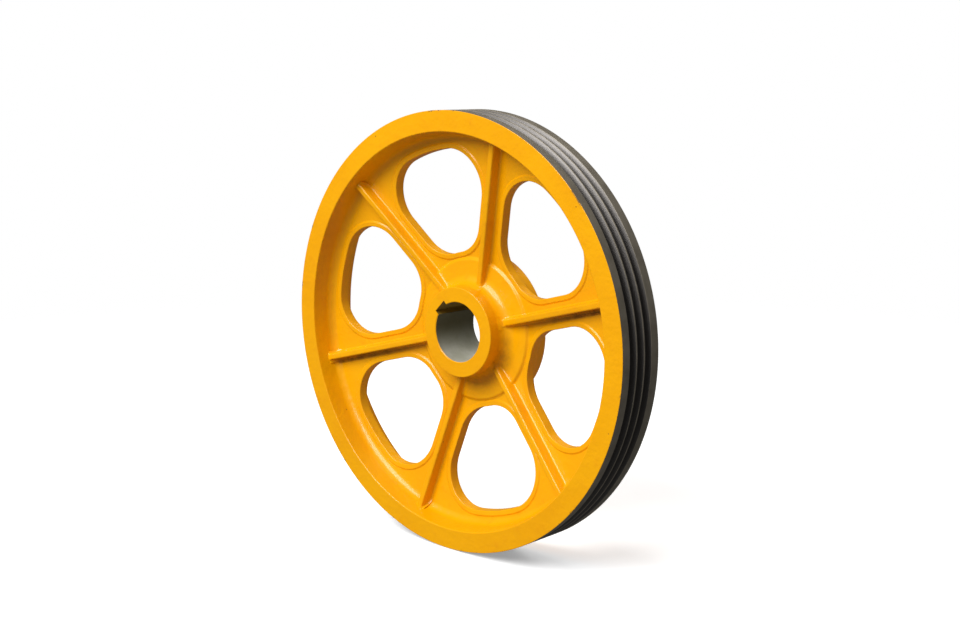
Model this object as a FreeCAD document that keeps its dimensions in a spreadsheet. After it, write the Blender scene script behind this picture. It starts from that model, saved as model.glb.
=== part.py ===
import FreeCAD, Part

import os

from FreeCAD import Placement, Rotation, Vector
import Sketcher

# V belt pulley: a dished, six-armed iron wheel with three V grooves, bored and keyed for a shaft.
# The bore's axis is Y, the front is -Y and +Z is up. The origin is on the axis, midway across
# the tread. Millimetres and degrees.

doc = FreeCAD.newDocument("v_belt_pulley")
sheet = doc.addObject("Spreadsheet::Sheet", "sizes")

DRIVING_SIZES = [
    # tread: three V grooves, and a wide flat land at each edge
    ("tread_diameter", 580),
    ("face_width", 71),
    ("groove_width", 13.2),
    ("groove_depth", 12),
    ("groove_angle", 38),
    ("ridge_width", 1.8),
    # rim: a barrel whose inside narrows from both edges towards the web
    ("rim_thickness", 27.5),
    ("rim_taper", 4),
    # hub: bored, keyed and faced at both ends
    ("bore_diameter", 80),
    ("bore_chamfer", 1),
    ("hub_wall", 20),
    ("hub_front", -12),
    ("hub_length", 75),
    ("key_width", 22),
    ("key_depth", 5.4),
    ("key_angle", 135),
    # pad and boss: the thick middle of the web, in front and behind
    ("pad_reach", 36),
    ("pad_proud", 3),
    ("boss_reach", 42.5),
    ("boss_thickness", 15),
    # web: a cone that runs back from the rim to the hub
    ("web_front_at_pad", 20.5),
    ("web_dish", 25.2),
    ("web_thickness", 13.5),
    # arms and the windows between them
    ("first_arm_angle", 15),
    ("arm_width", 40.6),
    ("window_inner_margin", 8.5),
    ("window_outer_margin", 17.5),
    ("window_corner", 49.5),
    ("lip_width", 7),
    ("lip_height", 1.5),
    # ribs on the front of the arms
    ("rib_height", 14.5),
    ("rib_thickness", 9),
]
GROOVES = 3
ARMS = 6
FULL_TURN = 360
ARM_STEP = FULL_TURN / ARMS

for row, (alias, value) in enumerate(DRIVING_SIZES, start=1):
    sheet.set(f"A{row}", alias)
    sheet.set(f"B{row}", str(value))
    sheet.setAlias(f"B{row}", alias)
doc.recompute()


# ---- places worked out from the sheet, as expressions: radii from the bore's axis and, along
# ---- the axis, places measured from the middle of the tread

TREAD = "sizes.tread_diameter / 2"
EDGE = "sizes.face_width / 2"
GROOVE_FLOOR = f"({TREAD} - sizes.groove_depth)"
GROOVE_SLOPE = "sizes.groove_depth * tan(sizes.groove_angle / 2)"
GROOVE_PITCH = "(sizes.groove_width + sizes.ridge_width)"
RIM_MOUTH = f"({TREAD} - sizes.rim_thickness)"
RIM_WAIST = f"({RIM_MOUTH} - sizes.rim_taper)"

BORE = "sizes.bore_diameter / 2"
HUB = f"({BORE} + sizes.hub_wall)"
HUB_BACK = "(sizes.hub_front + sizes.hub_length)"
PAD = f"({HUB} + sizes.pad_reach)"
PAD_FRONT = "(sizes.web_front_at_pad - sizes.pad_proud)"
BOSS = f"({HUB} + sizes.boss_reach)"

WEB_SLOPE = f"(sizes.web_dish / ({RIM_WAIST} - {PAD}))"
WINDOW_INNER = f"({PAD} + sizes.window_inner_margin)"
WINDOW_OUTER = f"({RIM_WAIST} - sizes.window_outer_margin)"
HALF_STEP = ARM_STEP / 2
# a window's corner stays within these shares of the window's length and of its narrow end
SHARE_OF_LENGTH = 0.37
SHARE_OF_NARROW_END = 0.9
ROOM_ALONG_WINDOW = f"{SHARE_OF_LENGTH} * ({WINDOW_OUTER} - {WINDOW_INNER})"
ROOM_BETWEEN_ARMS = f"{SHARE_OF_NARROW_END} * ({WINDOW_INNER} - sizes.arm_width)"
WINDOW_CORNER = f"min(sizes.window_corner; {ROOM_ALONG_WINDOW}; {ROOM_BETWEEN_ARMS})"
ARM_TO_CORNER = f"(sizes.arm_width / 2 + {WINDOW_CORNER})"
SHANK_START = f"sqrt(({WINDOW_INNER} + {WINDOW_CORNER}) ^ 2 - {ARM_TO_CORNER} ^ 2)"
SHANK_END = f"sqrt(({WINDOW_OUTER} - {WINDOW_CORNER}) ^ 2 - {ARM_TO_CORNER} ^ 2)"


def web_front(radius):
    """Axial place of the web's conical front at a radius."""
    return f"(sizes.web_front_at_pad - {WEB_SLOPE} * ({radius} - {PAD}))"


def web_back(radius):
    """Axial place of the web's conical back at a radius."""
    return f"({web_front(radius)} + sizes.web_thickness)"


BOSS_BACK = f"({web_back(PAD)} + sizes.boss_thickness)"
RIM_WEB_FRONT = web_front(RIM_WAIST)
RIM_WEB_BACK = web_back(RIM_WAIST)


def number(owner, expression):
    """An expression's value as a plain number."""
    value = owner.evalExpression(expression)
    return float(getattr(value, "Value", value))


def draw_outline(sketch, corners):
    """A closed outline whose corners are (across, along) pairs of expressions."""
    places = [Vector(number(sketch, x), number(sketch, y), 0) for x, y in corners]
    count = len(places)
    for index in range(count):
        sketch.addGeometry(Part.LineSegment(places[index], places[(index + 1) % count]), False)
    for index in range(count):
        following = (index + 1) % count
        sketch.addConstraint(Sketcher.Constraint("Coincident", index, 2, following, 1))
    for index, corner in enumerate(corners):
        for kind, expression in zip(("DistanceX", "DistanceY"), corner):
            size = number(sketch, expression)
            made = sketch.addConstraint(Sketcher.Constraint(kind, -1, 1, index, 1, size))
            sketch.setExpression(f"Constraints[{made}]", expression)


def origin_plane(body, role):
    """One of a body's own origin planes."""
    return next(item for item in body.Origin.OriginFeatures if item.Role == role)


def sketch_in(body, role, name, corners):
    """A sketch of an outline on one of a body's origin planes."""
    sketch = body.newObject("Sketcher::SketchObject", name)
    sketch.AttachmentSupport = (origin_plane(body, role), "")
    sketch.MapMode = "FlatFace"
    draw_outline(sketch, corners)
    return sketch


def turned_body(label, corners):
    """A body turned about the bore's axis from its half section."""
    body = doc.addObject("PartDesign::Body", label)
    body.Label = label
    section = sketch_in(body, "XY_Plane", label + "_section", corners)
    turning = body.newObject("PartDesign::Revolution", label + "_turning")
    turning.Profile = section
    turning.ReferenceAxis = (section, ["V_Axis"])
    turning.Angle = FULL_TURN
    doc.recompute()
    return body


def turned_blank(name, corners):
    """A ring turned about the bore's axis, to be cut into repeated pieces."""
    section = doc.addObject("Sketcher::SketchObject", name + "_section")
    draw_outline(section, corners)
    ring = doc.addObject("Part::Revolution", name)
    ring.Source = section
    ring.Axis = Vector(0, 1, 0)
    ring.Angle = FULL_TURN
    ring.Solid = True
    return ring


def joined(kind, name, base, tool):
    """The Part::Cut or Part::Common of two objects."""
    result = doc.addObject(kind, name)
    result.Label = name
    result.Base = base
    result.Tool = tool
    return result


def turn_to(item, expression):
    """Turn an item about the bore's axis, from +X towards +Z."""
    item.Placement = Placement(Vector(0, 0, 0), Rotation(Vector(0, -1, 0), 0))
    item.setExpression("Placement.Rotation.Angle", expression)


sub_parts = []


# ---- rim and tread

sub_parts.append(turned_body("rim_ring", [
    (RIM_MOUTH, f"-{EDGE}"),
    (GROOVE_FLOOR, f"-{EDGE}"),
    (GROOVE_FLOOR, EDGE),
    (RIM_MOUTH, EDGE),
    (RIM_WAIST, RIM_WEB_BACK),
    (RIM_WAIST, RIM_WEB_FRONT),
]))

OUTER_GROOVE = f"({GROOVE_PITCH} * {(GROOVES - 1) / 2} + sizes.groove_width / 2)"
for label, side in (("tread_land_front", "-1"), ("tread_land_back", "1")):
    sub_parts.append(turned_body(label, [
        (GROOVE_FLOOR, f"{side} * {EDGE}"),
        (TREAD, f"{side} * {EDGE}"),
        (TREAD, f"{side} * {OUTER_GROOVE}"),
        (GROOVE_FLOOR, f"{side} * ({OUTER_GROOVE} - {GROOVE_SLOPE})"),
    ]))

for index in range(GROOVES - 1):
    middle = f"{GROOVE_PITCH} * {index - (GROOVES - 2) / 2}"
    half_top = "sizes.ridge_width / 2"
    half_root = f"({half_top} + {GROOVE_SLOPE})"
    sub_parts.append(turned_body(f"groove_ridge_{index + 1}", [
        (GROOVE_FLOOR, f"{middle} - {half_root}"),
        (TREAD, f"{middle} - {half_top}"),
        (TREAD, f"{middle} + {half_top}"),
        (GROOVE_FLOOR, f"{middle} + {half_root}"),
    ]))


# ---- hub, with its keyway, and the thick middle of the web

CHAMFER = "sizes.bore_chamfer"
hub = turned_body("hub", [
    (f"{BORE} + {CHAMFER}", "sizes.hub_front"),
    (HUB, "sizes.hub_front"),
    (HUB, HUB_BACK),
    (f"{BORE} + {CHAMFER}", HUB_BACK),
    (BORE, f"{HUB_BACK} - {CHAMFER}"),
    (BORE, f"sizes.hub_front + {CHAMFER}"),
])
plain_hub_volume = hub.Shape.Volume
keyway_outline = sketch_in(hub, "XZ_Plane", "keyway_outline", [
    ("0", "-sizes.key_width / 2"),
    (f"{BORE} + sizes.key_depth", "-sizes.key_width / 2"),
    (f"{BORE} + sizes.key_depth", "sizes.key_width / 2"),
    ("0", "sizes.key_width / 2"),
])
keyway = hub.newObject("PartDesign::Pocket", "keyway")
keyway.Profile = keyway_outline
keyway.Type = "ThroughAll"
keyway.Midplane = True
doc.recompute()
if hub.Shape.Volume >= plain_hub_volume:
    raise RuntimeError("the keyway cuts nothing")
turn_to(hub, "sizes.key_angle")
sub_parts.append(hub)

sub_parts.append(turned_body("hub_pad", [
    (HUB, PAD_FRONT),
    (PAD, PAD_FRONT),
    (PAD, web_front(PAD)),
    (HUB, web_front(HUB)),
]))
sub_parts.append(turned_body("web_center", [
    (HUB, web_front(HUB)),
    (WINDOW_INNER, web_front(WINDOW_INNER)),
    (WINDOW_INNER, web_back(WINDOW_INNER)),
    (HUB, web_back(HUB)),
]))
sub_parts.append(turned_body("web_ring", [
    (WINDOW_OUTER, web_front(WINDOW_OUTER)),
    (RIM_WAIST, RIM_WEB_FRONT),
    (RIM_WAIST, RIM_WEB_BACK),
    (WINDOW_OUTER, web_back(WINDOW_OUTER)),
]))
sub_parts.append(turned_body("back_boss", [
    (HUB, web_back(HUB)),
    (BOSS, web_back(BOSS)),
    (BOSS, BOSS_BACK),
    (HUB, BOSS_BACK),
]))


# ---- windows: a tool shape between two arms, centred on +X, its four corners rounded

def window_tool(name, margin):
    """A window's prism, grown all round by a margin: two sides that run along the arms, and two
    ends that are concentric with the wheel."""
    inner = f"({WINDOW_INNER} - {margin})"
    outer = f"({WINDOW_OUTER} + {margin})"
    apex = f"((sizes.arm_width / 2 - {margin}) / sin({HALF_STEP} deg))"
    reach = f"({outer} + {TREAD})"
    spread = f"({reach} - {apex}) * tan({HALF_STEP} deg)"
    between_arms = doc.addObject("Sketcher::SketchObject", name + "_between_arms")
    between_arms.Placement = Placement(Vector(0, 0, 0), Rotation(Vector(1, 0, 0), 90))
    draw_outline(between_arms, [(apex, "0"), (reach, f"-{spread}"), (reach, spread)])
    wedge = doc.addObject("Part::Extrusion", name + "_wedge")
    wedge.Base = between_arms
    wedge.Dir = Vector(0, 1, 0)
    wedge.DirMode = "Custom"
    wedge.Symmetric = True
    wedge.Solid = True
    wedge.setExpression("LengthFwd", "sizes.tread_diameter")
    discs = []
    for end, radius in (("outer", outer), ("inner", inner)):
        disc = doc.addObject("Part::Cylinder", f"{name}_{end}")
        disc.Placement = Placement(Vector(0, 0, 0), Rotation(Vector(1, 0, 0), 90))
        disc.setExpression("Radius", radius)
        disc.setExpression("Height", "sizes.tread_diameter")
        disc.setExpression("Placement.Base.y", "sizes.tread_diameter / 2")
        discs.append(disc)
    filled = joined("Part::Common", name + "_filled", wedge, discs[0])
    sharp = joined("Part::Cut", name + "_sharp", filled, discs[1])
    doc.recompute()
    corner = number(sharp, f"{WINDOW_CORNER} + {margin}")
    rounded = doc.addObject("Part::Fillet", name)
    rounded.Base = sharp
    rounded.Edges = [
        (index, corner, corner)
        for index, edge in enumerate(sharp.Shape.Edges, start=1)
        if abs(edge.tangentAt(edge.FirstParameter).y) > 0.99
    ]
    doc.recompute()
    return rounded


window = window_tool("window", "0")
wide_window = window_tool("wide_window", "sizes.lip_width")
lip_frame = joined("Part::Cut", "lip_frame", wide_window, window)


# ---- arms: the web between its middle and its outer ring, one sector each, with half a window
# ---- on either side; each arm is a root, a straight shank and a head, which flare where the
# ---- windows' corners begin

web_sector_section = doc.addObject("Sketcher::SketchObject", "web_sector_section")
draw_outline(web_sector_section, [
    (WINDOW_INNER, web_front(WINDOW_INNER)),
    (WINDOW_OUTER, web_front(WINDOW_OUTER)),
    (WINDOW_OUTER, web_back(WINDOW_OUTER)),
    (WINDOW_INNER, web_back(WINDOW_INNER)),
])
web_sector = doc.addObject("Part::Revolution", "web_sector")
web_sector.Source = web_sector_section
web_sector.Axis = Vector(0, 1, 0)
web_sector.Angle = ARM_STEP
web_sector.Symmetric = True
web_sector.Solid = True

side_windows = []
for name, turn in (("window_above", HALF_STEP), ("window_below", -HALF_STEP)):
    side_window = joined("Part::Common", name, window, turned_blank(name + "_reach", [
        ("0", f"-{TREAD}"),
        (TREAD, f"-{TREAD}"),
        (TREAD, TREAD),
        ("0", TREAD),
    ]))
    side_window.Placement = Placement(Vector(0, 0, 0), Rotation(Vector(0, -1, 0), turn))
    side_windows.append(side_window)
half_cut_sector = joined("Part::Cut", "half_cut_sector", web_sector, side_windows[0])
whole_arm = joined("Part::Cut", "whole_arm", half_cut_sector, side_windows[1])

ARM_SPANS = (
    ("arm_root", "0", SHANK_START),
    ("arm_shank", SHANK_START, SHANK_END),
    ("arm_head", SHANK_END, TREAD),
)
arm_slabs = []
for name, start, end in ARM_SPANS:
    slab = doc.addObject("Part::Box", name + "_slab")
    slab.setExpression("Length", f"{end} - {start}")
    slab.setExpression("Width", "sizes.tread_diameter")
    slab.setExpression("Height", "sizes.tread_diameter")
    slab.setExpression("Placement.Base.x", start)
    slab.setExpression("Placement.Base.y", f"-{TREAD}")
    slab.setExpression("Placement.Base.z", f"-{TREAD}")
    arm_slabs.append((name, slab))


# ---- ribs: a slab on the front of each arm, from the hub to the rim's inner wall

RIB_TOP_AT_RIM = f"({RIM_WEB_FRONT} - sizes.rib_height)"
WALL_SLOPE = f"(sizes.rim_taper / ({RIM_WEB_FRONT} + {EDGE}))"
rib_band = turned_blank("rib_band", [
    (HUB, f"{web_front(HUB)} - sizes.rib_height"),
    (HUB, PAD_FRONT),
    (PAD, PAD_FRONT),
    (PAD, web_front(PAD)),
    (RIM_WAIST, RIM_WEB_FRONT),
    (f"{RIM_WAIST} + {WALL_SLOPE} * sizes.rib_height", RIB_TOP_AT_RIM),
])
rib_slab = doc.addObject("Part::Box", "rib_slab")
rib_slab.setExpression("Length", TREAD)
rib_slab.setExpression("Width", "sizes.face_width * 2")
rib_slab.setExpression("Height", "sizes.rib_thickness")
rib_slab.setExpression("Placement.Base.y", "-sizes.face_width")
rib_slab.setExpression("Placement.Base.z", "-sizes.rib_thickness / 2")


# ---- lips: a thin band on the web's front, cut to a frame round each window

lip_band = turned_blank("lip_band", [
    (PAD, web_front(PAD)),
    (PAD, f"{web_front(PAD)} - sizes.lip_height"),
    (RIM_WAIST, f"{RIM_WEB_FRONT} - sizes.lip_height"),
    (RIM_WAIST, RIM_WEB_FRONT),
])


# ---- the repeated pieces: an arm in three parts, its rib, and the lip of the window after it

for index in range(ARMS):
    arm_turn = f"sizes.first_arm_angle + {ARM_STEP * index}"
    window_turn = f"{arm_turn} + {HALF_STEP}"
    pieces = [
        (joined("Part::Common", f"{name}_{index + 1}", whole_arm, slab), arm_turn)
        for name, slab in arm_slabs
    ]
    pieces.append((joined("Part::Common", f"rib_{index + 1}", rib_band, rib_slab), arm_turn))
    pieces.append((joined("Part::Common", f"window_lip_{index + 1}", lip_band, lip_frame), window_turn))
    for piece, turn in pieces:
        turn_to(piece, turn)
        sub_parts.append(piece)

doc.recompute()


# ---- check everything, then write one file for each sub-part

for item in doc.Objects:
    if "Invalid" in item.State or "Error" in item.State:
        raise RuntimeError(f"{item.Label} failed: {item.State}")
for piece in sub_parts:
    if piece.Shape.isNull() or not piece.Shape.isValid():
        raise RuntimeError(f"{piece.Label} has no valid shape")

os.makedirs("parts", exist_ok=True)
for piece in sub_parts:
    piece.Shape.exportStep(f"parts/{piece.Label}.step")
    print(f"{piece.Label}: {len(piece.Shape.Solids)} solid, {piece.Shape.Volume / 1000:.1f} cm3")
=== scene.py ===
import math

import bmesh
import bpy
import numpy as np
from mathutils import Matrix, Vector


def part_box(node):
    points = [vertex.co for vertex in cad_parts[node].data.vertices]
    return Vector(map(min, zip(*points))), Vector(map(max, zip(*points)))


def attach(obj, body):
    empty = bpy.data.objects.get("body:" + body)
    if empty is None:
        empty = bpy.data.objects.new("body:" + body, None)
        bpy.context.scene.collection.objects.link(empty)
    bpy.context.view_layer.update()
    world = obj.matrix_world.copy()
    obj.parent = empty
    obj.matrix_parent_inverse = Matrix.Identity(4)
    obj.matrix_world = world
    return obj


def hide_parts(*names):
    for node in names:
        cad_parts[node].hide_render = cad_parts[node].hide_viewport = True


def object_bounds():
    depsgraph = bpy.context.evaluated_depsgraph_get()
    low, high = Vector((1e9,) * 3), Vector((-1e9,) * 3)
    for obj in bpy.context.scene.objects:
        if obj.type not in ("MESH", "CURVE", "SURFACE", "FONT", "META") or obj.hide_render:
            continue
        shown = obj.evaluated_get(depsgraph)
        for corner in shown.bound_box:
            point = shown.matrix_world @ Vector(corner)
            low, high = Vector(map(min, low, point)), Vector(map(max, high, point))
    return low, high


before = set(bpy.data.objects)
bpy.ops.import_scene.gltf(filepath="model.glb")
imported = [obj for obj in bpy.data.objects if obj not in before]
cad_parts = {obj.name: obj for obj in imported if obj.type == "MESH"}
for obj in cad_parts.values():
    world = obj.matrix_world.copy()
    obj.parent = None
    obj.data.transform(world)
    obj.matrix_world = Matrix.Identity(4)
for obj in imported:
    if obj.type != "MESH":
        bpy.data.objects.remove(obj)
cad_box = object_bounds()

# ---- Rim
# The heavy barrel of the wheel, cast in grey iron with drafted inner walls that run into the
# web with a generous fillet. Its sides are enamelled; its outside is turned and left bare, and
# it shows as the flat floors of the three V grooves.

MM = 0.001
FULL_TURN = 2 * math.pi

_, rim_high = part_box("rim_ring")
_, land_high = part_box("tread_land_front")
FACE = rim_high.y / MM
GROOVE_FLOOR = round(rim_high.z / MM, 1)
TREAD = round(land_high.z / MM)
RIM_MOUTH = 262.5
RIM_WAIST = 258.5
RIM_FILLET = 13.0
MOUTH_ROUND = 1.6
WINDOW_OUTER = 241.0
PAD_RADIUS = 96.0
WEB_AT_PAD = 20.5
WEB_DROP = 25.2
WEB_SLOPE = WEB_DROP / (RIM_WAIST - PAD_RADIUS)
WEB_THICK = 13.5
SUNK = 0.3
FIRST_ARM = 15


def web_front(radius):
    """The cone of the web's front: its place along the axis falls evenly with the radius."""
    return WEB_AT_PAD - WEB_SLOPE * (radius - PAD_RADIUS)


class Wire:
    """A socket that can be reckoned with: each operator adds one Math node."""

    def __init__(self, material, socket):
        self.material = material
        self.socket = socket

    def math(self, operation, *others):
        return self.material.node("ShaderNodeMath", {"operation": operation}, [self, *others])

    def __add__(self, other):
        return self.math("ADD", other)

    __radd__ = __add__

    def __sub__(self, other):
        return self.math("SUBTRACT", other)

    def __rsub__(self, other):
        return self.material.node("ShaderNodeMath", {"operation": "SUBTRACT"}, [other, self])

    def __mul__(self, other):
        return self.math("MULTIPLY", other)

    __rmul__ = __mul__

    def __truediv__(self, other):
        return self.math("DIVIDE", other)

    def ramp(self, low, high):
        """0 below low, 1 above high, and smooth between them."""
        settings = {"interpolation_type": "SMOOTHSTEP"}
        return self.material.node("ShaderNodeMapRange", settings, {0: self, 1: low, 2: high})


class Finish:
    """A surface finish: one Principled shader, and the nodes that vary it over the surface."""

    def __init__(self, name, **constants):
        self.made = bpy.data.materials.new(name)
        self.made.use_nodes = True
        self.tree = self.made.node_tree
        self.shader = next(n for n in self.tree.nodes if n.type == "BSDF_PRINCIPLED")
        for socket, value in constants.items():
            self.shader.inputs[socket.replace("_", " ")].default_value = value
        place = self.tree.nodes.new("ShaderNodeTexCoord")
        self.place = Wire(self, place.outputs["Object"])

    def node(self, kind, settings=None, inputs=None, output=0):
        """Any node: its settings first, then the values or links of its sockets."""
        made = self.tree.nodes.new(kind)
        for key, value in (settings or {}).items():
            setattr(made, key, value)
        pairs = enumerate(inputs) if isinstance(inputs, list) else (inputs or {}).items()
        for key, value in pairs:
            self.join(made.inputs[key], value)
        return Wire(self, made.outputs[output])

    def join(self, socket, value):
        """Link a wire to a socket, or set the socket to a number or a colour."""
        if isinstance(value, Wire):
            self.tree.links.new(value.socket, socket)
        else:
            socket.default_value = value

    def noise(self, scale, detail=3.0, roughness=0.55, where=None):
        """Cloudy noise from 0 to 1, with this many lumps to the metre."""
        return self.node("ShaderNodeTexNoise", {}, {
            "Vector": where or self.place,
            "Scale": scale,
            "Detail": detail,
            "Roughness": roughness,
        })

    def blend(self, amount, first, second):
        """Two colours mixed: the first where amount is 0, the second where it is 1."""
        settings = {"data_type": "RGBA"}
        return self.node("ShaderNodeMix", settings, {0: amount, 6: first, 7: second}, output=2)

    def split(self):
        """The three coordinates of a point, apart."""
        nodes = self.node("ShaderNodeSeparateXYZ", {}, [self.place]).socket.node
        return [Wire(self, nodes.outputs[i]) for i in range(3)]

    def polar(self):
        """Distance from the bore's axis, angle round it, and place along it."""
        x, along, z = self.split()
        return (x * x + z * z).math("SQRT"), z.math("ARCTAN2", x), along

    def bump(self, height, strength, distance):
        """Small relief in the shading, from a pattern of heights."""
        inputs = {"Height": height, "Strength": strength, "Distance": distance}
        self.feed("Normal", self.node("ShaderNodeBump", {}, inputs))

    def feed(self, socket, value):
        self.join(self.shader.inputs[socket], value)


CHROME_YELLOW = (0.900, 0.408, 0.0, 1)
CLOUDED_YELLOW = (0.860, 0.368, 0.0, 1)
SAGGED_YELLOW = (0.78, 0.29, 0.0, 1)
OILY_DUST_AND_SHADOW = (0.165, 0.056, 0.003, 1)
PIT_BROWN = (0.200, 0.060, 0.008, 1)
CHIPPED_IRON = (0.035, 0.022, 0.015, 1)


def yellow_enamel():
    """Thick chrome-yellow brush enamel over cast iron. It softens the sand-cast grain, lumps and
    sags a little and has a few pits. A painted shadow with a little oily dust in it darkens the web
    under the two ribs that lie near level, oily dust clings below the hub, and the turned edge of
    the rim's front is chipped."""
    paint = Finish("yellow_enamel", Metallic=0.0, Coat_Roughness=0.10, IOR=1.45, Specular_IOR_Level=0.3)
    radius, angle, along = paint.polar()
    grain = paint.noise(420.0, 3.0, 0.6)
    lumps = paint.noise(170.0, 2.0, 0.5)
    sags = paint.noise(60.0, 2.0)
    clouds = paint.noise(9.0, 4.0)
    colour = paint.blend(clouds.ramp(0.35, 0.7), CHROME_YELLOW, CLOUDED_YELLOW)
    colour = paint.blend(sags.ramp(0.55, 0.8) * 0.35, colour, SAGGED_YELLOW)

    # Painted shadow, mottled with a little dust, in the corner between the web and the ribs at 15
    # and 195 degrees, on their lower side, where each rib shades the web.
    below = (math.radians(FIRST_ARM) - angle).math("SINE") * radius
    over_web = web_front(radius / MM) * MM - along
    corner = below.ramp(0.0030, 0.0050) * (1 - below.ramp(0.0105, 0.0135)) * over_web.ramp(-0.002, 0.0)
    rib_shadow_and_dust = corner * radius.ramp(0.070, 0.200) * (1 - radius.ramp(0.254, 0.257))

    # Dust in the fillet below the hub, thickest at 57 degrees under the level.
    fillet = along.ramp(-0.002, 0.008) * (1 - along.ramp(0.019, 0.022))
    off_thickest = (angle + 1.0).math("ABSOLUTE")
    by_hub = (1 - radius.ramp(0.061, 0.090)) * fillet * (1 - off_thickest.ramp(0.5, 1.2))

    dust = paint.noise(90.0, 5.0, 0.65)
    # The painted shadow under the ribs and the dust below the hub, in one brown.
    grime_and_shadow = rib_shadow_and_dust * (0.65 + dust.ramp(0.40, 0.62) * 0.35) + by_hub * dust.ramp(0.25, 0.75) * 0.55
    colour = paint.blend(grime_and_shadow * 0.72, colour, OILY_DUST_AND_SHADOW)

    # Pits: a spot in the middle of about one in eight of a Voronoi pattern's cells.
    cells = {"Vector": paint.place, "Scale": 55.0}
    from_middle = paint.node("ShaderNodeTexVoronoi", {}, cells)
    lot = paint.node("ShaderNodeSeparateColor", {}, [paint.node("ShaderNodeTexVoronoi", {}, cells, 1)])
    pits = (1 - from_middle.ramp(0.030, 0.060)) * lot.ramp(0.86, 0.88)
    colour = paint.blend(pits * 0.8, colour, PIT_BROWN)

    # Chips along the turned edge, where the rim's front meets the tread.
    edge = radius.ramp((TREAD - 2.8) * MM, (TREAD - 0.3) * MM)
    edge = edge * (1 - along.ramp((0.7 - FACE) * MM, (2.0 - FACE) * MM))
    worn = paint.noise(16.0, 2.0).ramp(0.50, 0.62)
    chips = paint.noise(75.0, 6.0, 0.75).ramp(0.545, 0.60) * edge * worn
    colour = paint.blend(chips, colour, CHIPPED_IRON)

    paint.feed("Base Color", colour)
    paint.feed("Roughness", 0.27 + sags * 0.10 + chips * 0.3 + grime_and_shadow * 0.3)
    paint.feed("Coat Weight", 0.30 - chips * 0.30 - grime_and_shadow * 0.20)
    paint.bump(grain * 0.30 + lumps * 0.9 + sags * 2.0 - chips * 0.6 - pits * 0.8, 0.36, 0.0012)
    return paint.made


LAND_PALE = (0.290, 0.255, 0.195, 1)
LAND_BROWN = (0.200, 0.172, 0.128, 1)
FLANK_GREY = (0.172, 0.161, 0.152, 1)
FLANK_BRIGHT = (0.200, 0.187, 0.177, 1)
GROOVE_OIL_AND_SHADE = (0.020, 0.018, 0.014, 1)


def turned_iron():
    """Grey iron off the lathe. What stands at the tread's full radius is dull and grey-brown, the
    flanks of the grooves are bright where the belts polish them, and oil and painted shade darken
    their floors."""
    iron = Finish("turned_iron", IOR=1.6)
    radius, angle, along = iron.polar()
    rings = iron.node("ShaderNodeCombineXYZ", {}, [radius * 450, along * 450, angle * 0.8])
    lines = iron.noise(1.0, 2.0, 0.5, where=rings)
    skin = iron.noise(35.0, 5.0, 0.65)
    land = radius.ramp((TREAD - 0.8) * MM, (TREAD - 0.2) * MM)
    # Oil and painted shade: darker over the last few millimetres above each groove's floor.
    darkening = 1 - radius.ramp((GROOVE_FLOOR + 0.2) * MM, (GROOVE_FLOOR + 3.5) * MM)
    dull = iron.blend(skin.ramp(0.3, 0.75), LAND_PALE, LAND_BROWN)
    bright = iron.blend(lines.ramp(0.3, 0.8), FLANK_GREY, FLANK_BRIGHT)
    colour = iron.blend(land, bright, dull)
    iron.feed("Base Color", iron.blend(darkening * 0.85, colour, GROOVE_OIL_AND_SHADE))
    iron.feed("Metallic", 0.85 - land * 0.45 - darkening * 0.15)
    iron.feed("Roughness", 0.38 + land * 0.10 + skin * 0.05)
    iron.bump(lines * land, 0.10, 0.00005)
    return iron.made


# How much of a side a rounded corner may use up: less where the side's other end is round too.
WHOLE_SIDE = 0.85
SHARED_SIDE = 0.48
JUST_OUTSIDE = 1.15


def rounded(corners, steps=6):
    """A closed outline through corners (across, along, radius): each corner with a radius is
    replaced by the arc that touches both its sides, with one more point just outside each end.
    Where a side is too short for that, the arc is smaller."""
    places = np.array([corner[:2] for corner in corners], float)
    points = []
    for index, (_, _, radius) in enumerate(corners):
        here = places[index]
        if radius == 0:
            points.append(here)
            continue
        ways = []
        rooms = []
        for near in (index - 1, (index + 1) % len(corners)):
            way = places[near] - here
            length = np.hypot(*way)
            ways.append(way / length)
            rooms.append(length * (SHARED_SIDE if corners[near][2] else WHOLE_SIDE))
        before, after = ways
        half = math.acos(np.clip(before @ after, -1, 1)) / 2
        reach = min(radius / math.tan(half), *rooms)
        radius = reach * math.tan(half)
        middle = here + (before + after) / np.hypot(*(before + after)) * radius / math.sin(half)
        first = here + before * reach - middle
        last = here + after * reach - middle
        sweep = math.atan2(first[0] * last[1] - first[1] * last[0], first @ last)
        turn = np.linspace(0, sweep, steps + 1)
        arc_x = first[0] * np.cos(turn) - first[1] * np.sin(turn)
        arc_y = first[0] * np.sin(turn) + first[1] * np.cos(turn)
        points.append(here + before * reach * JUST_OUTSIDE)
        points.extend(middle + np.stack([arc_x, arc_y], axis=1))
        points.append(here + after * reach * JUST_OUTSIDE)
    return np.array(points)


def sides(section):
    """The middle of each side of a closed section."""
    return (section + np.roll(section, -1, axis=0)) / 2


SHARP_ANGLE = 32


def finished(name, mesh, nodes, sharp=SHARP_ANGLE):
    """Shade a mesh smooth but for its sharp edges, and let it stand for its CAD nodes."""
    mesh.polygons.foreach_set("use_smooth", np.ones(len(mesh.polygons), bool))
    mesh.set_sharp_from_angle(angle=math.radians(sharp))
    piece = bpy.data.objects.new(name, mesh)
    bpy.context.scene.collection.objects.link(piece)
    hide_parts(*nodes)
    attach(piece, "root")
    return piece


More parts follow.
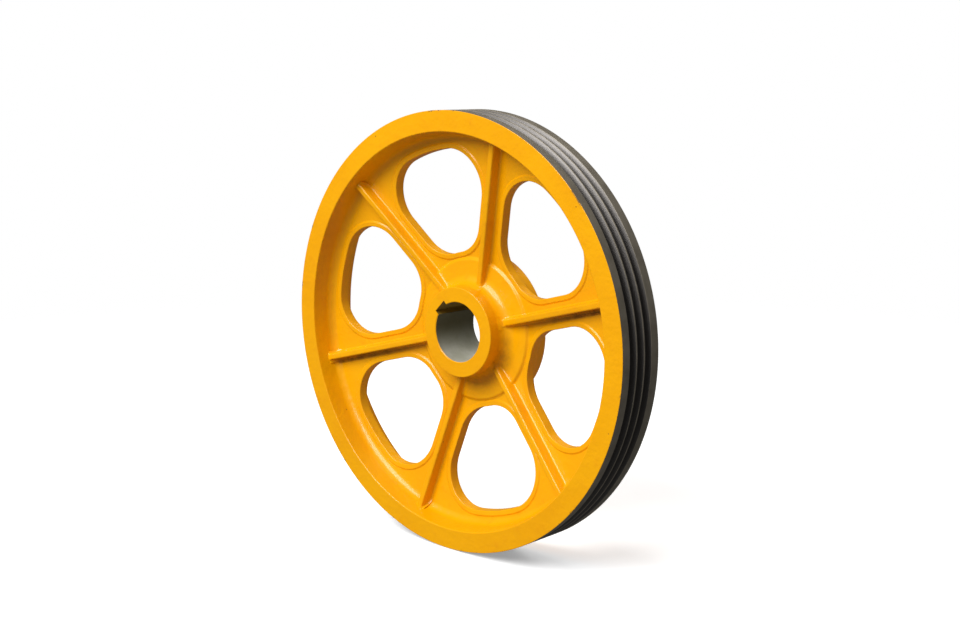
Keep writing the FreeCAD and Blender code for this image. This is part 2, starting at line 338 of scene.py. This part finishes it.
def shell(name, points, finishes, chosen=None, sharp=SHARP_ANGLE, loop=True):
    """A closed surface from a grid of points (rows, columns, 3). The columns always close on
    themselves; the rows close too if loop is true, and end in flat caps if it isn't. The faces
    are turned outwards by the sign of the volume that they enclose: the sum over the faces of
    one corner times the cross product of the next two. chosen picks each face's finish."""
    rows, columns = points.shape[:2]
    index = np.arange(rows * columns).reshape(rows, columns)
    below = np.roll(index, -1, axis=0) if loop else index[1:]
    above = index if loop else index[:-1]
    quads = np.stack([above, np.roll(above, -1, 1), np.roll(below, -1, 1), below], axis=-1)
    faces = [tuple(face) for face in quads.reshape(-1, 4)]
    if not loop:
        faces.append(tuple(index[0][::-1]))
        faces.append(tuple(index[-1]))
    flat = points.reshape(-1, 3)
    corner = flat[quads.reshape(-1, 4)]
    volume = np.einsum("ij,ij->", corner[:, 0], np.cross(corner[:, 1], corner[:, 2]))
    volume += np.einsum("ij,ij->", corner[:, 0], np.cross(corner[:, 2], corner[:, 3]))
    if volume < 0:
        faces = [face[::-1] for face in faces]
    mesh = bpy.data.meshes.new(name)
    mesh.from_pydata(flat, [], faces)
    for finish in finishes:
        mesh.materials.append(finish)
    if chosen is not None:
        pick = np.zeros(len(faces), np.int32)
        pick[: quads.shape[0] * columns] = np.broadcast_to(chosen, quads.shape[:2]).reshape(-1)
        mesh.polygons.foreach_set("material_index", pick)
    mesh.update()
    return finished(name, mesh, [name], sharp)


ROUND_STEPS = 360


def turned(name, section, finishes, bare=None):
    """A closed section (distance from the axis, place along it) carried once round the Y axis.
    bare says, for each side of the section, whether it has the second finish."""
    angle = np.arange(ROUND_STEPS) * FULL_TURN / ROUND_STEPS
    across = section[:, 0, None] * MM
    along = np.broadcast_to(section[:, 1, None] * MM, (len(section), ROUND_STEPS))
    points = np.stack([across * np.cos(angle), along, across * np.sin(angle)], axis=-1)
    return shell(name, points, finishes, None if bare is None else bare[:, None])


ENAMEL = yellow_enamel()
BARE_IRON = turned_iron()

rim_section = rounded([
    (GROOVE_FLOOR, -FACE, 0),
    (RIM_MOUTH, -FACE, MOUTH_ROUND),
    (RIM_WAIST, web_front(RIM_WAIST), RIM_FILLET),
    (WINDOW_OUTER + 1, web_front(WINDOW_OUTER + 1) + SUNK, 0),
    (WINDOW_OUTER + 1, web_front(WINDOW_OUTER + 1) + WEB_THICK - SUNK, 0),
    (RIM_WAIST, web_front(RIM_WAIST) + WEB_THICK, RIM_FILLET),
    (RIM_MOUTH, FACE, MOUTH_ROUND),
    (GROOVE_FLOOR, FACE, 0),
    (GROOVE_FLOOR, 0, 0),
], steps=9)
rim_bare = sides(rim_section)[:, 0] > GROOVE_FLOOR - 0.1
rim = turned("rim_ring", rim_section, [ENAMEL, BARE_IRON], rim_bare)

# ---- Tread lands and groove ridges
# The rings of iron that the lathe left standing between the grooves: a wide flat land at each
# edge, enamelled on its outer side up to the turned edge, and two thin ridges with their crests
# just broken. The flanks are cut at 38 degrees for a 13 mm belt.

GROOVE_WIDTH = 13.2
RIDGE_WIDTH = 1.8
RIDGE_MIDDLE = (GROOVE_WIDTH + RIDGE_WIDTH) / 2
LAND_INNER = GROOVE_WIDTH * 1.5 + RIDGE_WIDTH
FLANK = (TREAD - GROOVE_FLOOR) * math.tan(math.radians(38 / 2))
TURNED_EDGE = 0.7
LAND_CREST = 0.4
RIDGE_CREST = 0.35

for side, label in ((-1, "tread_land_front"), (1, "tread_land_back")):
    land_section = rounded([
        (GROOVE_FLOOR, side * FACE, 0),
        (TREAD, side * FACE, TURNED_EDGE),
        (TREAD, side * LAND_INNER, LAND_CREST),
        (GROOVE_FLOOR, side * (LAND_INNER - FLANK), 0),
    ], steps=4)
    land_bare = sides(land_section)[:, 1] * side < FACE - TURNED_EDGE / 2
    land = turned(label, land_section, [ENAMEL, BARE_IRON], land_bare)

for number, middle in ((1, -RIDGE_MIDDLE), (2, RIDGE_MIDDLE)):
    ridge_section = rounded([
        (GROOVE_FLOOR, middle - RIDGE_WIDTH / 2 - FLANK, 0),
        (TREAD, middle - RIDGE_WIDTH / 2, RIDGE_CREST),
        (TREAD, middle + RIDGE_WIDTH / 2, RIDGE_CREST),
        (GROOVE_FLOOR, middle + RIDGE_WIDTH / 2 + FLANK, 0),
    ], steps=4)
    ridge = turned(f"groove_ridge_{number}", ridge_section, [BARE_IRON])

# ---- Hub
# The sleeve that takes the shaft: bored and faced on the lathe, with a keyway broached along
# the bore. Faces and barrel are enamelled; the bore and the keyway are bare and lightly oiled.

hub_low, hub_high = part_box("hub")
HUB = round(hub_high.x / MM)
HUB_FRONT = hub_low.y / MM
HUB_BACK = hub_high.y / MM
HUB_EDGE = 1.2
BORE = 40.0
BORE_CHAMFER = 1.0
KEY_HALF = 11.0
KEY_FLOOR = 45.4
KEY_ANGLE = math.radians(135)

# Points within the hub's faces, barrel and bore, which keep their strips even.
FACE_MIDDLE = 48.0
BARREL_MIDDLE = 16.0
BORE_MIDDLE = 25.0

BORE_PALE = (0.520, 0.510, 0.430, 1)
BORE_GREY = (0.420, 0.410, 0.320, 1)
BORE_TOP_SHADE = (0.095, 0.076, 0.018, 1)
KEYWAY_BROWN = (0.340, 0.190, 0.012, 1)
THIN_ENAMEL = (0.42, 0.30, 0.02, 1)


def bored_iron():
    """The wall of the bore: smooth grey-green oiled iron with fine tool rings, darkened towards the
    top with painted shade, darker and browner in the keyway, and with a smear of enamel where the
    brush went over the edge."""
    wall = Finish("bored_iron", IOR=1.6)
    radius, angle, along = wall.polar()
    rings = wall.node("ShaderNodeCombineXYZ", {}, [angle * 1.5, along * 1600, 0.0])
    lines = wall.noise(1.0, 3.0, 0.6, where=rings)
    darkening = wall.noise(45.0, 4.0, 0.6)
    colour = wall.blend(darkening.ramp(0.35, 0.7), BORE_PALE, BORE_GREY)
    # Painted shade: the wall darkens towards the top of the bore.
    height = angle.math("SINE") * radius / (BORE * MM)
    colour = wall.blend(height.ramp(-1.0, 0.15) * 0.90, colour, BORE_TOP_SHADE)
    in_keyway = radius.ramp((BORE + 0.2) * MM, (BORE + 1.2) * MM)
    colour = wall.blend(in_keyway * 0.9, colour, KEYWAY_BROWN)
    smear = wall.noise(38.0, 3.0).ramp(0.50, 0.62) * (1 - along.ramp(-0.012, 0.016))
    smear = smear * (1 - (angle - 3.02).math("ABSOLUTE").ramp(0.08, 0.22))
    wall.feed("Base Color", wall.blend(smear * 0.8, colour, THIN_ENAMEL))
    wall.feed("Metallic", 0.25 - smear * 0.25)
    wall.feed("Roughness", 0.42 + darkening * 0.12 + lines * 0.08)
    wall.bump(lines, 0.15, 0.0002)
    return wall.made


def keyed_hub():
    """The hub's section carried round the axis: at each angle, a point nearer the axis than the
    keyway's outline is moved out to it, which is the slot's flat floor and its two flat sides.
    Gives the grid of points, and which sides of the section are bare."""
    section = rounded([
        (BORE, HUB_FRONT + BORE_CHAMFER, 0),
        (BORE + BORE_CHAMFER, HUB_FRONT, 0),
        (FACE_MIDDLE, HUB_FRONT, 0),
        (HUB, HUB_FRONT, HUB_EDGE),
        (HUB, BARREL_MIDDLE, 0),
        (HUB, HUB_BACK, HUB_EDGE),
        (FACE_MIDDLE, HUB_BACK, 0),
        (BORE + BORE_CHAMFER, HUB_BACK, 0),
        (BORE, HUB_BACK - BORE_CHAMFER, 0),
        (BORE, BORE_MIDDLE, 0),
    ])
    floor_end = math.atan2(KEY_HALF, KEY_FLOOR)
    side_end = math.asin(KEY_HALF / BORE)
    slot = np.concatenate([np.linspace(0, floor_end, 9), np.linspace(floor_end, side_end, 5)[1:]])
    round_wall = np.linspace(side_end, FULL_TURN - side_end, 331)[1:-1]
    turn = np.concatenate([slot, round_wall, FULL_TURN - slot[:0:-1]])
    offset = np.abs((turn + math.pi) % FULL_TURN - math.pi)
    floor_reach = KEY_FLOOR / np.cos(np.minimum(offset, floor_end))
    side_reach = KEY_HALF / np.sin(np.clip(offset, floor_end, math.pi / 2))
    outline = np.where(offset <= floor_end, floor_reach, side_reach)
    outline = np.where(offset <= side_end + 1e-6, outline, 0)
    across = np.maximum(section[:, 0, None], outline) * MM
    along = np.broadcast_to(section[:, 1, None] * MM, across.shape)
    angle = turn + KEY_ANGLE
    points = np.stack([across * np.cos(angle), along, across * np.sin(angle)], axis=-1)
    return points, sides(section)[:, 0] < BORE + BORE_CHAMFER * 0.4


hub_points, hub_bare = keyed_hub()
hub = shell("hub", hub_points, [ENAMEL, bored_iron()], hub_bare[:, None])

# ---- Pad and boss
# The thick middle of the web: a raised round pad in front and a deeper round boss behind, both
# blended into the hub's barrel with fillets as the pattern was. They hide the web's middle.

pad_low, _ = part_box("hub_pad")
_, boss_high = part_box("back_boss")
PAD_FRONT = pad_low.y / MM
BOSS = round(boss_high.z / MM, 1)
BOSS_BACK = boss_high.y / MM
HUB_FILLET = 15.0
BOSS_FILLET = 5.0
IN_BARREL = HUB - 0.15
IN_WEB = WEB_AT_PAD + 4

# The step round the pad, softened by the enamel: its top edge, its foot and its hidden skirt.
PAD_EDGE = PAD_RADIUS - 2.6
PAD_FOOT = PAD_RADIUS + 0.8
PAD_SKIRT = PAD_RADIUS + 4.5
STEP_ROUND = 4.0

# The same for the boss, whose side has a little draft.
BOSS_EDGE = BOSS - 0.6
BOSS_SKIRT = BOSS + 1.9
BOSS_ROUND = 1.8
BOSS_FOOT_ROUND = 1.6

pad_section = rounded([
    (IN_BARREL, PAD_FRONT - HUB_FILLET * 1.3, 0),
    (HUB, PAD_FRONT, HUB_FILLET),
    (PAD_EDGE, PAD_FRONT, STEP_ROUND),
    (PAD_FOOT, web_front(PAD_FOOT) - 0.1, STEP_ROUND),
    (PAD_SKIRT, web_front(PAD_SKIRT) + SUNK, 0),
    (PAD_SKIRT, IN_WEB, 0),
    (IN_BARREL, IN_WEB, 0),
], steps=8)
hub_pad = turned("hub_pad", pad_section, [ENAMEL])

boss_section = rounded([
    (IN_BARREL, BOSS_BACK + BOSS_FILLET * 1.6, 0),
    (HUB, BOSS_BACK, BOSS_FILLET),
    (BOSS_EDGE, BOSS_BACK, BOSS_ROUND),
    (BOSS, web_front(BOSS) + WEB_THICK, BOSS_FOOT_ROUND),
    (BOSS_SKIRT, web_front(BOSS_SKIRT) + WEB_THICK - 0.1, 0),
    (BOSS_SKIRT, IN_WEB, 0),
    (IN_BARREL, IN_WEB, 0),
], steps=8)
back_boss = turned("back_boss", boss_section, [ENAMEL])

# ---- Arms
# Six flared arms carry the rim on a dished web. Between them are six windows with wide round
# corners, cored in the mould, so the arms' sides are plain and their back edges are soft.

ARM_TURNS = [math.radians(FIRST_ARM + 60 * index) for index in range(6)]
HALF_STEP = math.radians(30)
ARM_HALF = 20.3
ARM_INNER = PAD_RADIUS - 1
ARM_OUTER = RIM_WAIST + 1
WINDOW_INNER = 104.5
CORNER = 49.5
CORNER_STEPS = 14
SOFT_EDGE = 1.8
SOFT_STEPS = 6
WELD = 2e-6


def swung(x, along, z, turn):
    """Points turned about the Y axis: x cos - z sin across, and x sin + z cos up."""
    cos, sin = math.cos(turn), math.sin(turn)
    return np.stack([x * cos - z * sin, along, x * sin + z * cos], axis=-1)


def window_corner(distance, turn, limit, start, end):
    """One round corner of a window, its middle at a distance and a turn from the axis. Along each
    direction from there, the reach is the root of a quadratic to the circle of the limit, or the
    arm's half width over a cosine to the arm's centre line, whichever comes first. One direction
    is the one in which the two meet."""
    to_arm = HALF_STEP + math.pi / 2
    middle = distance * np.array([math.cos(turn), math.sin(turn)])
    meeting = limit * np.array([math.cos(HALF_STEP), math.sin(HALF_STEP)]) - middle
    through = math.atan2(meeting[1], meeting[0])
    first_run = np.linspace(start, through, CORNER_STEPS)
    angle = np.concatenate([first_run, np.linspace(through, end, CORNER_STEPS)[1:]])
    away = np.stack([np.cos(angle), np.sin(angle)], axis=1)
    across = middle @ away.T
    root = np.sqrt(np.maximum(across ** 2 - distance ** 2 + limit ** 2, 0))
    inward = limit < distance
    to_limit = -across - root if inward else -across + root
    to_line = (ARM_HALF + CORNER) / np.maximum(np.cos(angle - to_arm), 1e-3)
    at_limit = angle >= through if inward else angle <= through
    reach = np.where(at_limit, to_limit, to_line)
    on_line = ~at_limit | np.isclose(angle, through)
    return middle + away * CORNER, away, reach - CORNER, on_line


def window_end(radius, turns, outward, limit):
    """One end of a window: an arc about the axis, which faces the limit."""
    ray = np.stack([np.cos(turns), np.sin(turns)], axis=1)
    reach = np.full(len(turns), abs(limit - radius))
    return ray * radius, ray * outward, reach, np.zeros(len(turns), bool)


def window_half():
    """Half a window's outline, from the middle of its inner end to the middle of its outer end:
    an arc about the axis, a round corner, a side parallel to the arm, a round corner and an arc
    again. Gives the points, the directions away from the window, how far that way the arm's
    centre line or the arm's end lies, and which of them end on that line. The window's centre
    line is the first axis."""
    inner_middle = WINDOW_INNER + CORNER
    outer_middle = WINDOW_OUTER - CORNER
    inner_turn = HALF_STEP - math.asin((ARM_HALF + CORNER) / inner_middle)
    outer_turn = HALF_STEP - math.asin((ARM_HALF + CORNER) / outer_middle)
    to_arm = HALF_STEP + math.pi / 2
    parts = [
        window_end(WINDOW_INNER, np.linspace(0, inner_turn, 4)[:-1], -1, ARM_INNER),
        window_corner(inner_middle, inner_turn, ARM_INNER, math.pi + inner_turn, to_arm),
        window_corner(outer_middle, outer_turn, ARM_OUTER, to_arm, outer_turn),
        window_end(WINDOW_OUTER, np.linspace(outer_turn, 0, 8)[1:], 1, ARM_OUTER),
    ]
    return [np.concatenate(columns) for columns in zip(*parts)]


def one_arm():
    """Both halves of an arm that lies along the X axis, as points and faces. The cross-section
    from the window's edge to the arm's centre line is carried along half a window's outline, and
    mirrored. It runs along the web's front cone, down the window's side, round its soft back edge
    and along the back cone. Each of its rows is a share of the way to the centre line, a further
    step across, and a depth, 0 at the front cone and 1 at the back one."""
    soft = np.linspace(0, math.pi / 2, SOFT_STEPS)
    soft_across = SOFT_EDGE * (1 - np.cos(soft))
    soft_depth = SOFT_EDGE * (1 - np.sin(soft))
    shares = np.array([1, 0.75, 0.5, 0.25, 0.08])
    front = [(share, 0.0, 0.0) for share in shares] + [(0, 0.0, 0.0)]
    wall = [(0, 0.0, depth) for depth in (0.3, 0.6)]
    back = [(0, step, 1.0) for step in soft_across]
    back += [(share, SOFT_EDGE * (1 - share), 1.0) for share in shares[::-1]]
    rows = front + wall + back
    share, step, depth = (np.array(column)[:, None] for column in zip(*rows))
    flat = window_edge + window_away * (share * window_reach + step)[..., None]
    along = web_front(np.hypot(flat[..., 0], flat[..., 1])) + depth * WEB_THICK
    first = len(front) + len(wall)
    along[first:first + SOFT_STEPS] -= soft_depth[:, None]
    points = swung(flat[..., 0], along, flat[..., 1], -HALF_STEP)

    index = np.arange(along.size).reshape(along.shape)
    quads = [index[:-1, :-1], index[:-1, 1:], index[1:, 1:], index[1:, :-1]]
    quads = np.stack(quads, axis=-1).reshape(-1, 4)
    ends = np.stack([index[-1, :-1], index[-1, 1:], index[0, 1:], index[0, :-1]], axis=-1)
    ends = ends[~(on_arm_line[:-1] & on_arm_line[1:])]
    faces = [tuple(face) for face in np.concatenate([quads, ends])]
    faces += [tuple(index[::-1, 0]), tuple(index[:, -1])]
    lower = points.reshape(-1, 3)
    upper = lower * (1, 1, -1)
    faces += [tuple(int(i) + len(lower) for i in face)[::-1] for face in faces]
    return np.concatenate([lower, upper]) * MM, faces


window_edge, window_away, window_reach, on_arm_line = window_half()
arm_points, arm_faces = one_arm()
for index, turn in enumerate(ARM_TURNS, start=1):
    arm_mesh = bpy.data.meshes.new(f"arm_{index}")
    arm_mesh.from_pydata(swung(*arm_points.T, turn), [], arm_faces)
    build = bmesh.new()
    build.from_mesh(arm_mesh)
    bmesh.ops.remove_doubles(build, verts=build.verts, dist=WELD)
    bmesh.ops.recalc_face_normals(build, faces=build.faces)
    build.to_mesh(arm_mesh)
    build.free()
    arm_mesh.materials.append(ENAMEL)
    nodes = [f"arm_root_{index}", f"arm_shank_{index}", f"arm_head_{index}", "web_center", "web_ring"]
    arm = finished(f"arm_{index}", arm_mesh, nodes, sharp=40)

# ---- Window lips
# A flat raised band round each window, part of the casting: it stiffens the thin edge of the
# web and is softened by the enamel.

LIP_WIDTH = 7.0
LIP_HEIGHT = 1.5
LIP_DEPTH = 1.5

lip_section = rounded([
    (0, 0, 0),
    (0, LIP_HEIGHT, 1.1),
    (LIP_WIDTH - 1.0, LIP_HEIGHT, 1.6),
    (LIP_WIDTH + 0.8, 0.05, 1.6),
    (LIP_WIDTH + 3.0, -0.15, 0),
    (LIP_WIDTH + 3.0, -LIP_DEPTH, 0),
    (1.5, -LIP_DEPTH, 0),
], steps=5)


def lip_grid():
    """The lip's section carried round a whole window: its first size is the distance away from
    the window's edge, and its second the height over the web's front cone. The outline is half a
    window's and its mirror image, without the points that fall together."""
    mirror = np.array([1, -1])
    edge = np.concatenate([window_edge, (window_edge * mirror)[-2:0:-1]])
    away = np.concatenate([window_away, (window_away * mirror)[-2:0:-1]])
    apart = np.hypot(*(edge - np.roll(edge, 1, axis=0)).T) > 1e-6
    flat = edge[apart] + away[apart] * lip_section[:, 0, None, None]
    along = web_front(np.hypot(flat[..., 0], flat[..., 1])) - lip_section[:, 1, None]
    return flat[..., 0], along, flat[..., 1]


lip_x, lip_along, lip_z = lip_grid()
for index, turn in enumerate(ARM_TURNS, start=1):
    lip_points = swung(lip_x, lip_along, lip_z, turn + HALF_STEP) * MM
    lip = shell(f"window_lip_{index}", lip_points, [ENAMEL])

# ---- Ribs
# One rib stands along each arm's front, from the hub's barrel to the rim's inner wall, with
# drafted sides, a soft top and a fillet along its foot.

RIB_HEIGHT = 14.5
RIB_FULL = 6.5
RIB_LEAST = 0.2
STEP_START = PAD_RADIUS - 3.4
STEP_LENGTH = 5.0

# Half the rib's cross-section, from its foot to its top: how far across, what share of the height
# over the face, and how much more than that in millimetres.
RIB_SIDE = np.array([
    (8.6, 0, -0.5),
    (7.2, 0, 0.10),
    (6.3, 0, 0.50),
    (5.7, 0, 1.15),
    (5.3, 0, 2.1),
    (5.05, 0, 3.4),
    (4.75, 0.5, 0.8),
    (4.45, 1, -2.2),
    (4.3, 1, -1.5),
    (3.95, 1, -0.8),
    (3.4, 1, -0.28),
    (2.6, 1, 0),
    (1.3, 1, 0),
])
RIB_UNDER = [(8.6, 0, -3), (-8.6, 0, -3)]


def face_under_rib(radius):
    """The casting's front under a rib: the hub's fillet, the flat pad, the step down to the web,
    the web's cone and the fillet into the rim's wall."""
    step = np.clip((radius - STEP_START) / STEP_LENGTH, 0, 1)
    step = step * step * (3 - 2 * step)
    face = PAD_FRONT + (web_front(radius) - PAD_FRONT) * step
    into_hub = np.clip(HUB + HUB_FILLET - radius, 0, HUB_FILLET)
    face = face - (HUB_FILLET - np.sqrt(HUB_FILLET ** 2 - into_hub ** 2))
    into_rim = np.clip(radius - (RIM_WAIST - RIM_FILLET), 0, RIM_FILLET)
    return face - (RIM_FILLET - np.sqrt(RIM_FILLET ** 2 - into_rim ** 2))


def rib_points(turn):
    """A rib's cross-section carried along the arm. Its foot follows the face under it and its
    top runs parallel to the web's cone; between them each point keeps its share of the height.
    The stations lie close together where the face bends."""
    section = np.concatenate([RIB_SIDE * (-1, 1, 1), [(0, 1, 0)], RIB_SIDE[::-1], RIB_UNDER])
    radius = np.concatenate([
        np.linspace(HUB - 2, PAD_RADIUS - 3, 20),
        np.linspace(PAD_RADIUS - 2, PAD_RADIUS + 2, 6),
        np.linspace(PAD_RADIUS + 6, RIM_WAIST - 16, 32),
        np.linspace(RIM_WAIST - 14, RIM_WAIST + 3.5, 14),
    ])[:, None]
    across, share, rise = (column[None, :] for column in section.T)
    face = face_under_rib(radius)
    height = np.maximum(face - (web_front(radius) - RIB_HEIGHT), RIB_LEAST)
    along = face - height * share - rise * np.minimum(height / RIB_FULL, 1)
    x = np.sqrt(radius ** 2 - across ** 2)
    return swung(x, along, np.broadcast_to(across, x.shape), turn) * MM


for index, turn in enumerate(ARM_TURNS, start=1):
    rib = shell(f"rib_{index}", rib_points(turn), [ENAMEL], sharp=50, loop=False)

# ---- Studio
# A plain pale floor under the wheel, which stands on its tread, in an even pale surround. A large
# soft lamp stands in front at the upper left, with a weak one above and one behind that gives the
# back its light but no gloss.

FLOOR_RADIUS = 3.0
FLOOR_SIDES = 64
FLOOR_GAP = 0.0005

# The surround's strength as the camera sees it, as it lights a surface and as gloss mirrors it.
SEEN = 1.0
LIGHTING = 0.26
MIRRORED = 0.07

# Where the camera stands round the wheel and above it, how many tread radii away, and how many
# of them to the right of and above the wheel's middle it aims.
AZIMUTH = math.radians(43.023)
ELEVATION = math.radians(9.959)
DISTANCE = 6.2143
AIM_RIGHT = 0.07622
AIM_UP = 0.05105
LENS = 51.070125

floor_paint = Finish("floor_paint", Roughness=0.9, Emission_Color=(1, 1, 1, 1), Emission_Strength=0.3)
floor_x, floor_y, _ = floor_paint.split()
from_wheel = (floor_x * floor_x + floor_y * floor_y).math("SQRT")
mottle = floor_paint.noise(3.0)
floor_paint.feed("Base Color", floor_paint.blend(mottle, (0.92, 0.92, 0.92, 1), (0.90, 0.90, 0.90, 1)))
floor_paint.feed("Alpha", 1 - from_wheel.ramp(0.5, 2.2))
ring = np.arange(FLOOR_SIDES) * FULL_TURN / FLOOR_SIDES
floor_level = np.full(FLOOR_SIDES, cad_box[0][2] - FLOOR_GAP)
floor_corners = np.stack([FLOOR_RADIUS * np.cos(ring), FLOOR_RADIUS * np.sin(ring), floor_level], axis=1)
floor_mesh = bpy.data.meshes.new("floor")
floor_mesh.from_pydata(floor_corners, [], [tuple(range(FLOOR_SIDES))])
floor_mesh.materials.append(floor_paint.made)
floor = bpy.data.objects.new("floor", floor_mesh)
bpy.context.scene.collection.objects.link(floor)
floor.visible_diffuse = False
floor.visible_glossy = False

surround = bpy.data.worlds.new("surround")
surround.use_nodes = True
sky = surround.node_tree
backdrop = sky.nodes["Background"]
backdrop.inputs["Color"].default_value = (1.0, 1.0, 1.0, 1)
rays = sky.nodes.new("ShaderNodeLightPath")
unseen = sky.nodes.new("ShaderNodeMapRange")
unseen.inputs["To Min"].default_value = MIRRORED
unseen.inputs["To Max"].default_value = LIGHTING
sky.links.new(rays.outputs["Is Diffuse Ray"], unseen.inputs["Value"])
strength = sky.nodes.new("ShaderNodeMapRange")
strength.inputs["To Max"].default_value = SEEN
sky.links.new(rays.outputs["Is Camera Ray"], strength.inputs["Value"])
sky.links.new(unseen.outputs["Result"], strength.inputs["To Min"])
sky.links.new(strength.outputs["Result"], backdrop.inputs["Strength"])
bpy.context.scene.world = surround


def lamp(name, place, size, watts, mirrored=True):
    """A square soft box, aimed at the wheel's middle. One that isn't mirrored gives no gloss."""
    made = bpy.data.lights.new(name, "AREA")
    made.shape = "SQUARE"
    made.size = size
    made.energy = watts
    box = bpy.data.objects.new(name, made)
    box.location = place
    box.rotation_euler = (-Vector(place)).to_track_quat("-Z", "Y").to_euler()
    box.visible_glossy = mirrored
    bpy.context.scene.collection.objects.link(box)


level = math.cos(ELEVATION)
right = Vector((math.cos(AZIMUTH), math.sin(AZIMUTH), 0))
back = Vector((math.sin(AZIMUTH) * level, -math.cos(AZIMUTH) * level, math.sin(ELEVATION)))
up = back.cross(right)

lamp("key", (back * 0.60 - right * 0.55 + up * 0.55) * 4.5, 3.0, 250)
lamp("top", (0.3, 0.3, 3.0), 1.8, 14)
lamp("behind", (-1.6, 3.9, 2.0), 3.0, 110, mirrored=False)

camera_data = bpy.data.cameras.new("camera")
camera_data.sensor_width = 36
camera_data.lens = LENS
camera = bpy.data.objects.new("camera", camera_data)
camera.location = (right * AIM_RIGHT + up * AIM_UP + back * DISTANCE) * TREAD * MM
camera.rotation_euler = Matrix((right, up, back)).transposed().to_euler()
bpy.context.scene.collection.objects.link(camera)
bpy.context.scene.camera = camera
bpy.context.scene.view_settings.view_transform = "Standard"
